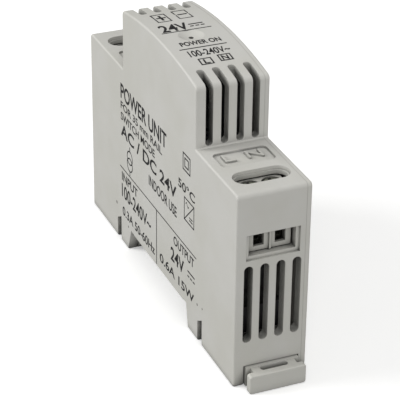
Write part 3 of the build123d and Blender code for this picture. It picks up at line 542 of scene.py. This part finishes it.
def wire(path: np.ndarray, reference: np.ndarray, radius: float, sides: int) -> Patch:
    """A round wire along a path.

    A point of it is the path's point plus the radius times the cosine of the section angle along
    the side vector, and times its sine along the lift vector. Side is square to the path and to
    the reference, and lift is square to the path and to side.

    Args:
        path: points along the wire's centre.
        reference: one vector for each point, or one for all, never along the path.
        radius: the wire's radius.
        sides: how many points go round it.

    Returns:
        The wire with flat ends.
    """
    tangent = np.gradient(path, axis=0)
    tangent /= np.linalg.norm(tangent, axis=1, keepdims=True)
    side = np.cross(tangent, reference)
    side /= np.linalg.norm(side, axis=1, keepdims=True)
    lift = np.cross(side, tangent)
    angle = np.linspace(0.0, 2.0 * np.pi, sides, endpoint=False)[None, :, None]
    ring = np.cos(angle) * side[:, None] + np.sin(angle) * lift[:, None]
    return lattice(path[:, None] + radius * ring, loop=False)


def piece(name: str, patch: Patch) -> bpy.types.Object:
    """Makes a patch an object at the origin, with merged points and outward faces.

    Args:
        name: the object's name.
        patch: its surface, in millimetres.

    Returns:
        The object, in metres.
    """
    mesh = bpy.data.meshes.new(name)
    mesh.from_pydata(patch.points * MM, [], patch.faces)
    shell = bmesh.new()
    shell.from_mesh(mesh)
    bmesh.ops.remove_doubles(shell, verts=shell.verts, dist=MERGE_DISTANCE)
    bmesh.ops.recalc_face_normals(shell, faces=shell.faces)
    shell.to_mesh(mesh)
    shell.free()
    mesh.shade_smooth()
    mesh.set_sharp_from_angle(angle=SMOOTH_ANGLE)
    made = bpy.data.objects.new(name, mesh)
    bpy.context.scene.collection.objects.link(made)
    return made


# ---------------------------------------------------------------- sub-assemblies
@dataclass
class Assembly:
    """A group of pieces that are dressed together.

    Attributes:
        shop: where the finishes come from.
        nodes: the CAD nodes that the group shows as they are.
    """

    shop: FinishShop
    nodes: tuple[str, ...] = ()

    def build(self) -> None:
        """Dresses the CAD nodes of this group in their slots' finishes, then makes its own pieces."""
        for name in self.nodes:
            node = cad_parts[name]
            for held in node.material_slots:
                slot = held.material.name.split(".")[0]
                held.material = self.shop.get(slot)
                LOG.info("%s: CAD node in %s", name, slot)
        self.make()

    def make(self) -> None:
        """Makes the pieces that the group adds. A plain group adds none."""

    def hand_over(self, patch: Patch, name: str, slot: str, replaced: str = "") -> bpy.types.Object:
        """Finishes a piece that rides on the housing.

        Args:
            patch: its surface.
            name: its name.
            slot: the record's material slot that it takes its finish from.
            replaced: the CAD node that it stands for, if any.

        Returns:
            The piece's object.
        """
        made = piece(name, patch)
        made.data.materials.append(self.shop.get(slot))
        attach(made, "housing")
        if replaced:
            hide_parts(replaced)
        LOG.info("%s: %d faces in %s", name, len(made.data.polygons), slot)
        return made


@dataclass
class LatchSpring(Assembly):
    """The compression spring that pushes the rail latch home."""

    wire_radius: float = 0.25
    turns: float = 9.0
    crowding: float = 0.45
    steps_per_turn: int = 40
    sides: int = 10
    travel: float = 3.0

    def make(self) -> None:
        """Coils the spring in the room that CAD keeps for it.

        A point of the wire's centre is the coil radius times the cosine and sine of the turn angle
        about the axis, and it goes along the axis by the share of the way less a sine, which
        brings the end turns together.
        """
        low, high = (np.array(corner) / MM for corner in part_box("latch_spring"))
        centre = (low + high) / 2
        coil_radius = (high[2] - low[2]) / 2 - self.wire_radius
        share = np.linspace(0.0, 1.0, int(self.turns * self.steps_per_turn) + 1)
        eased = share - self.crowding * np.sin(2 * np.pi * share) / (2 * np.pi)
        start, length = low[0] + self.wire_radius, high[0] - low[0] - 2 * self.wire_radius
        angle = 2 * np.pi * self.turns * share
        path = np.stack(
            [
                start + length * eased,
                centre[1] + coil_radius * np.cos(angle),
                centre[2] + coil_radius * np.sin(angle),
            ],
            axis=1,
        )
        coil = self.hand_over(
            wire(path, np.array(X_AXIS), self.wire_radius, self.sides),
            "latch_spring_coil",
            "spring_steel",
            "latch_spring",
        )
        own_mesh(coil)


@dataclass
class FilterChoke(Assembly):
    """The mains filter choke: a ferrite ring with two wire windings on opposite sides."""

    hole_radius: float = 3.3
    wire_radius: float = 0.26
    clearance: float = 0.4
    squareness: float = 8.0
    turns: int = 10
    steps_per_turn: int = 44
    sides: int = 8
    first_angle: float = 0.5
    lead_radius: float = 0.35
    lead_sides: int = 12
    lead_x: float = 2.5
    lead_z: float = 4.6
    lead_y: Span = (-7.3, -4.9)

    def winding(self, start: float) -> Patch:
        """One winding, over half of the ring.

        A point of the wire's centre lies at a ring angle that grows steadily and at a section
        angle that makes one turn for each turn of wire. The section is a superellipse about the
        ring's rectangular section: its reach at a section angle is one over the root of the sum of
        the powers of cosine over half width and sine over half height.

        Args:
            start: the ring angle where the winding begins.

        Returns:
            The winding's surface.
        """
        low, high = (np.array(corner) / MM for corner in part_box("filter_choke_core"))
        centre = (low + high) / 2
        outer, inner = (high[0] - low[0]) / 2, self.hole_radius
        half_width = (outer - inner) / 2 + self.clearance
        half_height = (high[1] - low[1]) / 2 + self.clearance
        share = np.linspace(0.0, 1.0, self.turns * self.steps_per_turn + 1)
        ring = start + (np.pi - 2 * self.first_angle) * share
        turn = 2 * np.pi * self.turns * share
        power = self.squareness
        total = np.abs(np.cos(turn) / half_width) ** power + np.abs(np.sin(turn) / half_height) ** power
        reach = total ** (-1 / power)
        from_axis = (outer + inner) / 2 + reach * np.cos(turn)
        path = np.stack(
            [
                centre[0] + from_axis * np.cos(ring),
                centre[1] + reach * np.sin(turn),
                centre[2] + from_axis * np.sin(ring),
            ],
            axis=1,
        )
        along_ring = np.stack([-np.sin(ring), np.zeros_like(ring), np.cos(ring)], axis=1)
        return wire(path, along_ring, self.wire_radius, self.sides)

    def leads(self) -> list[Patch]:
        """The four wire ends, straight down into the board."""
        low, high = (np.array(corner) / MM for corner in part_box("filter_choke_core"))
        centre = (low + high) / 2
        made = []
        for side in (-1, 1):
            for up in (-1, 1):
                x, z = centre[0] + side * self.lead_x, centre[2] + up * self.lead_z
                path = np.array([[x, y, z] for y in self.lead_y])
                made.append(wire(path, np.array(X_AXIS), self.lead_radius, self.lead_sides))
        return made

    def make(self) -> None:
        """Winds both halves and adds their leads."""
        halves = [self.winding(self.first_angle + side * np.pi) for side in (0, 1)]
        self.hand_over(
            join(halves + self.leads()), "filter_choke_wire", "copper_wire", "filter_choke_windings"
        )


@dataclass
class WoundCoil(Assembly):
    """A layered winding: a closed ring whose outside shows every turn of the top layer.

    Attributes:
        name: the piece's name.
        node: the CAD node that it stands for.
        axis: 1 where the coil's axis is Y, 2 where it is Z.
        inner: half sizes of the hole across the axis.
        corner: outer corner radius, or None for a round coil.
        inner_corner: corner radius of the hole of a coil that isn't round.
        pitch: distance from turn to turn.
        steps_per_turn: points along the axis for each turn.
        sides: points round the coil.
    """

    name: str = ""
    node: str = ""
    axis: int = 2
    inner: Span = (1.0, 1.0)
    corner: float | None = None
    inner_corner: float = 0.2
    pitch: float = 0.5
    steps_per_turn: int = 6
    sides: int = 56

    def make(self) -> None:
        """Carries the ridged section round the coil.

        A point is the centre of its quadrant's corner circle plus the corner radius times the
        direction. On the outside, both grow or shrink with the ridge, which is the absolute sine
        of the way along the axis, half a turn to a wire.
        """
        low, high = (np.array(corner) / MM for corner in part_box(self.node))
        centre, half = (low + high) / 2, (high - low) / 2
        across = [index for index in range(3) if index != self.axis]
        reach = half[self.axis]
        count = max(2, round(2 * reach / self.pitch))
        share = np.linspace(0.0, 1.0, self.steps_per_turn * count + 1)
        ridge = self.pitch / 2 * (np.abs(np.sin(np.pi * count * share)) - 1.0)
        corner = half[across[0]] if self.corner is None else self.corner
        inner_corner = self.inner[0] if self.corner is None else self.inner_corner
        along = np.concatenate([reach * (2 * share - 1), [reach, -reach]])
        half_a = np.concatenate([half[across[0]] + ridge, [self.inner[0]] * 2])
        half_b = np.concatenate([half[across[1]] + ridge, [self.inner[1]] * 2])
        radius = np.concatenate([corner + ridge, [inner_corner] * 2])
        angle = (np.arange(self.sides) + 0.5) * 2 * np.pi / self.sides
        column = radius[:, None]
        points = np.empty((len(along), self.sides, 3))
        ways = (np.cos(angle)[None], np.sin(angle)[None])
        for index, half_size, way in zip(across, (half_a, half_b), ways):
            points[..., index] = centre[index] + np.sign(way) * (half_size[:, None] - column) + column * way
        points[..., self.axis] = centre[self.axis] + along[:, None]
        self.hand_over(lattice(points, loop=True), self.name, "copper_wire", self.node)


# ---------------------------------------------------------------- printing
PRINT_DEPTH = 0.01  # how far under the face the ink begins
SLAB_HALF = 0.5  # half the height of a slab before it is laid on its face
CURVE_STEPS = 5


class Weight(Enum):
    """Stroke weight of printed words, as how far an outline grows, in letter heights."""

    REGULAR = 0.015
    BOLD = 0.02


@dataclass(frozen=True)
class Words:
    """A printed line, in the millimetres of its face: it runs from left to right on its baseline."""

    text: str
    left: float
    right: float
    baseline: float
    height: float
    weight: Weight = Weight.REGULAR

    def patch(self) -> Patch:
        """The letters as closed slabs, stretched to the line's width and to the height of a capital."""
        curve = bpy.data.curves.new("letters", "FONT")
        curve.body = self.text
        curve.extrude = SLAB_HALF
        curve.offset = self.weight.value
        curve.resolution_u = CURVE_STEPS
        holder = bpy.data.objects.new("letters", curve)
        bpy.context.scene.collection.objects.link(holder)
        bpy.context.view_layer.update()
        evaluated = holder.evaluated_get(bpy.context.evaluated_depsgraph_get())
        mesh = bpy.data.meshes.new_from_object(evaluated)
        flat = np.empty(len(mesh.vertices) * 3)
        mesh.vertices.foreach_get("co", flat)
        points = flat.reshape(-1, 3)
        faces = [list(face.vertices) for face in mesh.polygons]
        bpy.data.objects.remove(holder)
        bpy.data.meshes.remove(mesh)
        bpy.data.curves.remove(curve)
        low, high = points.min(axis=0), points.max(axis=0)
        points[:, 0] = self.left + (points[:, 0] - low[0]) / (high[0] - low[0]) * (self.right - self.left)
        points[:, 1] = self.baseline + points[:, 1] / high[1] * self.height
        return Patch(points, faces)


def slab(outline: np.ndarray) -> Patch:
    """A flat closed slab of any outline: its face below, its face above and a wall between."""
    count = len(outline)
    levels = [np.column_stack([outline, np.full(count, level)]) for level in (-SLAB_HALF, SLAB_HALF)]
    return lattice(np.stack(levels), loop=False)


def circle(centre: Point, radius: float, sides: int = 40) -> np.ndarray:
    """Points round a circle."""
    angle = np.linspace(0.0, 2 * np.pi, sides, endpoint=False)
    return np.column_stack([centre[0] + radius * np.cos(angle), centre[1] + radius * np.sin(angle)])


def corners(left: float, bottom: float, right: float, top: float) -> np.ndarray:
    """The four corners of an upright rectangle."""
    return np.array([(left, bottom), (right, bottom), (right, top), (left, top)])


def stroke(start: Point, end: Point, thickness: float) -> Patch:
    """A straight line of some thickness, its ends cut square."""
    a, b = np.array(start), np.array(end)
    run = (b - a) / np.linalg.norm(b - a)
    side = np.array([-run[1], run[0]]) * thickness / 2
    return slab(np.array([a - side, b - side, b + side, a + side]))


def outline(outer: np.ndarray, inner: np.ndarray) -> Patch:
    """A closed band between two outlines of as many points."""
    rings = [(outer, -SLAB_HALF), (outer, SLAB_HALF), (inner, SLAB_HALF), (inner, -SLAB_HALF)]
    grid = [np.column_stack([line, np.full(len(line), level)]) for line, level in rings]
    return lattice(np.stack(grid), loop=True)


def box_outline(left: float, bottom: float, right: float, top: float, thickness: float) -> Patch:
    """A rectangular frame, its thickness laid inwards."""
    outer = corners(left, bottom, right, top)
    inner = corners(left + thickness, bottom + thickness, right - thickness, top - thickness)
    return outline(outer, inner)


def ring(centre: Point, radius: float, thickness: float) -> Patch:
    """A round frame, its thickness laid inwards."""
    return outline(circle(centre, radius), circle(centre, radius - thickness))


def direct_current(left: float, right: float, solid: float, dashed: float, thickness: float) -> list[Patch]:
    """The direct current sign: a solid bar over three dashes."""
    dash = (right - left) / 4
    bars = [stroke((left, solid), (right, solid), thickness)]
    for number in range(3):
        start = left + number * 1.5 * dash
        bars.append(stroke((start, dashed), (start + dash, dashed), thickness))
    return bars


@dataclass
class Printing(Assembly):
    """Black pad printing on one face of the case."""

    name: str = ""
    proud: float = 0.02

    def place(self, across: np.ndarray, up: np.ndarray, lift: np.ndarray) -> np.ndarray:
        """Carries the print's own coordinates to the face. Each face has its own way."""
        raise NotImplementedError

    def artwork(self) -> list[Patch]:
        """Everything that is printed on the face."""
        raise NotImplementedError

    def make(self) -> None:
        """Lays the artwork on the face, its top a little proud and its bottom just under the surface."""
        art = join(self.artwork())
        lift = np.where(art.points[:, 2] > 0, self.proud, -PRINT_DEPTH)
        points = self.place(art.points[:, 0], art.points[:, 1], lift)
        made = piece(self.name, Patch(points, art.faces))
        made.data.materials.append(self.shop.get("printing_ink", INK))
        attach(made, "housing")
        LOG.info("%s: %d faces of ink", self.name, len(made.data.polygons))


@dataclass
class FlankPrinting(Printing):
    """The rating print on the flank. Across is X and up is Z."""

    words: tuple[Words, ...] = (
        Words("POWER UNIT", -24.0, 5.5, 34.0, 3.9, Weight.BOLD),
        Words("FOR 35 mm RAIL", -24.0, 2.8, 31.2, 1.9),
        Words("SWITCH MODE", -24.0, -1.8, 28.2, 2.0),
        Words("AC / DC 24V", -24.0, 11.6, 24.0, 3.2, Weight.BOLD),
        Words("INDOOR USE", -5.6, 11.8, 19.5, 2.6),
        Words("50°C", 12.7, 22.4, 28.5, 2.3),
        Words("INPUT", -23.7, -13.2, 11.7, 2.3),
        Words("100-240V~", -23.9, -4.4, 7.1, 3.6),
        Words("0.3A 50-60Hz", -23.5, -1.9, 2.1, 2.4),
        Words("OUTPUT", 10.0, 22.2, 11.8, 2.3),
        Words("24V", 8.25, 16.3, 6.8, 3.5, Weight.BOLD),
        Words("0.6A 15W", 1.4, 22.4, 2.45, 2.35),
    )
    rule_z: float = 15.05
    rule_x: Span = (-24.9, 23.5)
    divider_x: float = -0.7
    divider_z: Span = (0.3, 15.1)
    rule_thickness: float = 0.28
    divider_thickness: float = 0.35
    sign_thickness: float = 0.34

    def place(self, across: np.ndarray, up: np.ndarray, lift: np.ndarray) -> np.ndarray:
        """The point at X across and Z up, lifted off the flank towards -Y."""
        flank_y = cad_box[0][1] / MM
        return np.column_stack([across, flank_y - lift, up])

    def artwork(self) -> list[Patch]:
        """Words, the rules between the input and output columns, and three generic symbols."""
        art = [words.patch() for words in self.words]
        rule = [(x, self.rule_z) for x in self.rule_x]
        divider = [(self.divider_x, z) for z in self.divider_z]
        art += [stroke(*rule, self.rule_thickness), stroke(*divider, self.divider_thickness)]
        art += direct_current(18.5, 22.7, 9.25, 8.0, 0.38)
        art += self.isolating_sign((-18.2, 19.2)) + self.double_square((17.5, 36.2), 2.2)
        return art + self.converter_sign(16.2, 21.6, 5.9)

    def isolating_sign(self, centre: Point) -> list[Patch]:
        """Two linked rings with a lead each way: an isolating transformer."""
        x, z = centre
        thickness = self.sign_thickness
        rings = [ring((x, z + side * 0.95), 1.9, thickness) for side in (-1, 1)]
        leads = [stroke((x, z + side * 2.8), (x, z + side * 3.9), thickness) for side in (-1, 1)]
        return rings + leads

    def double_square(self, centre: Point, half: float) -> list[Patch]:
        """One square inside another: double insulation."""
        return [
            box_outline(centre[0] - size, centre[1] - size, centre[0] + size, centre[1] + size, 0.36)
            for size in (half, 0.55 * half)
        ]

    def converter_sign(self, left: float, bottom: float, size: float) -> list[Patch]:
        """A square with a diagonal, a wave above it and two bars below: alternating to direct current."""
        right, top = left + size, bottom + size
        angle = np.linspace(0.0, 2 * np.pi, 24)
        wave_x = left + 0.9 + angle / (2 * np.pi) * 1.9
        wave_z = top - 1.5 + 0.45 * np.sin(angle)
        band = np.vstack([
            np.column_stack([wave_x, wave_z - 0.16]),
            np.column_stack([wave_x, wave_z + 0.16])[::-1],
        ])
        return [
            box_outline(left, bottom, right, top, 0.32),
            stroke((left + 0.3, bottom + 0.3), (right - 0.3, top - 0.3), 0.28),
            slab(band),
            stroke((right - 2.8, bottom + 1.9), (right - 0.9, bottom + 1.9), 0.3),
            stroke((right - 2.8, bottom + 1.2), (right - 0.9, bottom + 1.2), 0.3),
        ]


@dataclass
class CrownPrinting(Printing):
    """The print on the crowned front. Across is Y and up is -X, so the words stand up towards -X."""

    proud: float = 0.03
    end_x: float = 22.4
    end_z: float = 57.0
    rise: float = 2.1
    words: tuple[Words, ...] = (
        Words("24V", -6.3, 0.45, 2.65, 4.05, Weight.BOLD),
        Words("POWER ON", -5.2, 4.5, -5.7, 1.9, Weight.BOLD),
        Words("100-240V~", -5.1, 4.6, -10.8, 2.6),
        Words("L", -3.1, -1.8, -14.2, 1.7, Weight.BOLD),
        Words("N", 1.3, 2.9, -13.85, 1.75, Weight.BOLD),
    )

    def place(self, across: np.ndarray, up: np.ndarray, lift: np.ndarray) -> np.ndarray:
        """The point at Y across and X minus up, on the crown's arc and lifted along Z.

        The arc's radius is half the chord squared plus the rise squared, over twice the rise, and
        its height at X is its top less the radius plus the root of radius squared less X squared.
        """
        x = -up
        radius = (self.end_x**2 + self.rise**2) / (2 * self.rise)
        z = self.end_z + self.rise - radius + np.sqrt(radius**2 - x**2)
        return np.column_stack([x, across, z + lift])

    def artwork(self) -> list[Patch]:
        """Pole boxes at both ends, the voltages, a rule to each side of the lamp."""
        art = [words.patch() for words in self.words]
        art += direct_current(0.8, 4.3, 5.15, 3.95, 0.42)
        for left, bottom, right, top in (
            (-5.0, 8.8, -1.5, 14.4),
            (0.4, 9.2, 3.9, 15.1),
            (-4.1, -14.7, -1.0, -12.0),
            (0.6, -14.35, 3.7, -11.6),
        ):
            art.append(box_outline(left, bottom, right, top, 0.3))
        art.append(stroke((-4.4, 11.6), (-2.1, 11.6), 0.55))
        art += [stroke((-3.25, low), (-3.25, high), 0.55) for low, high in ((9.9, 11.32), (11.88, 13.3))]
        art.append(stroke((1.0, 12.1), (3.3, 12.1), 0.55))
        art.append(stroke((-6.8, 2.1), (5.2, 2.1), 0.3))
        art.append(stroke((-6.3, -7.1), (5.0, -7.1), 0.3))
        return art


# ---------------------------------------------------------------- studio
@dataclass(frozen=True)
class Softbox:
    """A square area light that looks at the object."""

    name: str
    place: tuple[float, float, float]
    size: float
    power: float
    colour: Colour = (1.0, 1.0, 1.0)

    def hang(self, target: Vector) -> None:
        """Makes the light and turns it to the target."""
        data = bpy.data.lights.new(self.name, "AREA")
        data.shape = "SQUARE"
        data.size = self.size
        data.energy = self.power
        data.color = self.colour
        light = bpy.data.objects.new(self.name, data)
        light.location = Vector(self.place)
        light.rotation_euler = (target - light.location).to_track_quat("-Z", "Y").to_euler()
        bpy.context.scene.collection.objects.link(light)


@dataclass
class Studio:
    """Floor, soft light and the camera.

    The floor's size and the lights are in metres. The camera's aim, distance and offset are in
    millimetres, its angles in degrees, and its lens in millimetres of focal length.
    """

    lights: tuple[Softbox, ...] = (
        Softbox("key_softbox", (-0.45, -1.0, 0.62), 0.6, 9.9),
        Softbox("end_softbox", (0.95, -0.25, 0.45), 0.6, 3.7),
        Softbox("top_softbox", (0.1, 0.35, 1.1), 0.8, 3.0),
    )
    world_level: float = 0.34
    floor_half: float = 3.0
    floor_glow: float = 0.3
    light_target: tuple[float, float, float] = (0.0, 0.0, 0.03)
    aim: tuple[float, float, float] = (0.0, 0.0, 25.0)
    azimuth: float = 66.967
    elevation: float = 29.054
    roll: float = 0.625
    distance: float = 429.164
    offset: Span = (-1.762, 7.631)
    lens: float = 165.6
    sensor_width: float = 36.0

    def build(self) -> None:
        """Sets up everything round the object."""
        self.lay_floor()
        self.light()
        self.set_camera()

    def lay_floor(self) -> None:
        """A pale sheet under the feet, which isn't part of the object."""
        half = self.floor_half
        low_z = cad_box[0][2]
        mesh = bpy.data.meshes.new("studio_floor")
        sheet = corners(-half, -half, half, half)
        mesh.from_pydata(np.column_stack([sheet, np.full(4, low_z)]), [], [[0, 1, 2, 3]])
        floor = bpy.data.objects.new("studio_floor", mesh)
        bpy.context.scene.collection.objects.link(floor)
        material = bpy.data.materials.new("studio_paper")
        material.use_nodes = True
        graph = Graph(material.node_tree)
        place = graph.add("ShaderNodeTexCoord").outputs["Object"]
        tooth = graph.add("ShaderNodeTexNoise", {"Vector": place, "Scale": 900.0}).outputs[0]
        colour = graph.mix(tooth, paint(248, 248, 247), paint(252, 252, 251))
        paper = graph.add("ShaderNodeBsdfDiffuse", {"Color": colour})
        grey = graph.add("ShaderNodeBsdfDiffuse", {"Color": (*paint(170, 170, 169), 1.0)})
        glow = graph.add("ShaderNodeEmission", {"Color": WHITE, "Strength": self.floor_glow})
        lit = graph.add("ShaderNodeAddShader", {0: paper.outputs[0], 1: glow.outputs[0]})
        seen = graph.add("ShaderNodeLightPath").outputs["Is Camera Ray"]
        shader = graph.add("ShaderNodeMixShader", {0: seen, 1: grey.outputs[0], 2: lit.outputs[0]})
        graph.add("ShaderNodeOutputMaterial", {"Surface": shader.outputs[0]})
        mesh.materials.append(material)

    def light(self) -> None:
        """An even white room and the softboxes."""
        world = bpy.data.worlds.new("studio_room")
        world.use_nodes = True
        graph = Graph(world.node_tree)
        glow = graph.add("ShaderNodeBackground", {"Color": WHITE, "Strength": self.world_level})
        graph.add("ShaderNodeOutputWorld", {"Surface": glow.outputs[0]})
        scene = bpy.context.scene
        scene.world = world
        scene.view_settings.view_transform = "Standard"
        for softbox in self.lights:
            softbox.hang(Vector(self.light_target))

    def set_camera(self) -> None:
        """Puts the camera at its azimuth, elevation and distance about the aim, rolled and offset."""
        azimuth, elevation, roll = np.radians([self.azimuth, self.elevation, self.roll])
        back = np.array([
            np.sin(azimuth) * np.cos(elevation),
            -np.cos(azimuth) * np.cos(elevation),
            np.sin(elevation),
        ])
        level = np.array([np.cos(azimuth), np.sin(azimuth), 0.0])
        upright = np.cross(back, level)
        right = level * np.cos(roll) + upright * np.sin(roll)
        up = upright * np.cos(roll) - level * np.sin(roll)
        place = np.array(self.aim) - self.offset[0] * right - self.offset[1] * up + self.distance * back
        data = bpy.data.cameras.new("camera")
        data.sensor_width = self.sensor_width
        data.lens = self.lens
        data.clip_start = 0.01
        camera = bpy.data.objects.new("camera", data)
        turn = Matrix(np.column_stack([right, up, back]).tolist()).to_4x4()
        camera.matrix_world = Matrix.Translation(Vector(place * MM)) @ turn
        bpy.context.scene.collection.objects.link(camera)
        bpy.context.scene.camera = camera


# ---------------------------------------------------------------- the whole object
def assemblies(shop: FinishShop) -> list[Assembly]:
    """Every sub-assembly, from the case inwards."""
    ends = [
        Assembly(
            shop,
            (
                f"{end}_terminal_block",
                f"{end}_contact_pins",
                f"{end}_screw_1",
                f"{end}_screw_2",
                f"{end}_clamp_cage_1",
                f"{end}_clamp_cage_2",
            ),
        )
        for end in ("mains", "output")
    ]
    return [
        Assembly(shop, ("housing_body", "side_cover", "rail_latch")),
        LatchSpring(shop),
        *ends,
        Assembly(shop, ("circuit_board", "fuse", "varistor", "filter_capacitor", "bridge_rectifier")),
        FilterChoke(shop, ("filter_choke_core",)),
        Assembly(shop, ("bulk_capacitor", "switching_transistor", "heat_sink", "heat_sink_screw")),
        Assembly(shop, ("controller_chip", "chip_resistors", "optocoupler", "y_capacitor")),
        WoundCoil(
            shop,
            ("transformer_core", "transformer_bobbin", "transformer_tape"),
            name="transformer_wire",
            node="transformer_winding",
            inner=(3.0, 3.1),
            corner=1.2,
            pitch=0.32,
        ),
        WoundCoil(
            shop,
            ("output_choke_core", "output_capacitors", "output_diode"),
            name="output_choke_wire",
            node="output_choke_winding",
            axis=1,
            inner=(1.85, 1.85),
            pitch=0.5,
        ),
        Assembly(shop, ("indicator_lamp",)),
        FlankPrinting(shop, name="flank_printing"),
        CrownPrinting(shop, name="crown_printing"),
    ]


def main() -> None:
    """Builds the sub-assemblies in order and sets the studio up."""
    logging.basicConfig(level=logging.INFO, format="%(message)s")
    shop = FinishShop()
    for assembly in assemblies(shop):
        assembly.build()
    Studio().build()
    LOG.info("boxes written")


if __name__ == "__main__":
    main()
